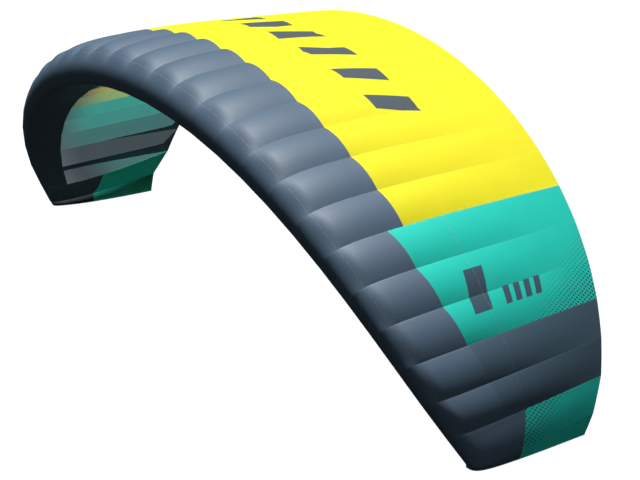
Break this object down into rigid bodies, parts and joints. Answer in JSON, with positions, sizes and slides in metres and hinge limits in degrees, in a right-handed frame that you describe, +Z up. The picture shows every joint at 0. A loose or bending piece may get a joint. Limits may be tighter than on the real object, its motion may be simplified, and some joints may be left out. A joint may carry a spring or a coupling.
{
  "type": "foil kite",
  "caption": "Single-skin foil kite with a round inflated nose, ribs hanging under an open rear skin and closed tips, standing as an arch on both tips.",
  "frame": {"origin": "centre of the kite's footprint, at the undersides of the two closing ribs that it stands on", "axes": "+X along the span to the right tip, -Y where the rounded leading edge faces, +Z up; the wing is mirrored about X = 0"},
  "size_m": [4.5308, 1.5979, 1.5965],
  "materials": {
    "nose_grey": "slate grey ripstop with a soft sheen",
    "yellow": "bright yellow ripstop",
    "teal": "turquoise ripstop, printed with fine dots towards the tail",
    "band_grey": "dark slate ripstop",
    "tip_teal": "turquoise ripstop, printed with fine dots",
    "rib_grey": "thin grey rib cloth",
    "rib_teal": "thin rib cloth tinted teal by the cells beside it",
    "rib_yellow": "thin rib cloth tinted yellow-green by the cells beside it",
    "closing_grey": "dark slate ripstop"
  },
  "bodies": {
    "root": {"nose_middle": "nose_grey", "nose_right": "nose_grey", "nose_left": "nose_grey", "nose_tip_right": "nose_grey", "nose_tip_left": "nose_grey", "panel_04": "teal", "panel_05": "teal", "panel_06": "teal", "panel_07": "yellow", "panel_08": "yellow", "panel_09": "yellow", "panel_10": "yellow", "panel_11": "yellow", "panel_12": "yellow", "panel_13": "yellow", "panel_14": "yellow", "panel_15": "yellow", "panel_16": "yellow", "panel_17": "yellow", "panel_18": "yellow", "panel_19": "yellow", "panel_20": "yellow", "panel_21": "yellow", "panel_22": "teal", "panel_23": "teal", "panel_24": "teal", "panel_grey_right": "band_grey", "panel_grey_left": "band_grey", "tip_top_right": "tip_teal", "tip_top_left": "tip_teal", "tip_under_right": "tip_teal", "tip_under_left": "tip_teal", "rib_02": "rib_grey", "rib_03": "rib_grey", "rib_04": "rib_teal", "rib_05": "rib_teal", "rib_06": "rib_teal", "rib_07": "rib_yellow", "rib_08": "rib_yellow", "rib_09": "rib_yellow", "rib_10": "rib_yellow", "rib_11": "rib_yellow", "rib_12": "rib_yellow", "rib_13": "rib_yellow", "rib_14": "rib_yellow", "rib_15": "rib_yellow", "rib_16": "rib_yellow", "rib_17": "rib_yellow", "rib_18": "rib_yellow", "rib_19": "rib_yellow", "rib_20": "rib_yellow", "rib_21": "rib_yellow", "rib_22": "rib_yellow", "rib_23": "rib_teal", "rib_24": "rib_teal", "rib_25": "rib_teal", "rib_26": "rib_grey", "rib_27": "rib_grey", "closing_rib_right": "closing_grey", "closing_rib_left": "closing_grey"}
  },
  "joints": []
}
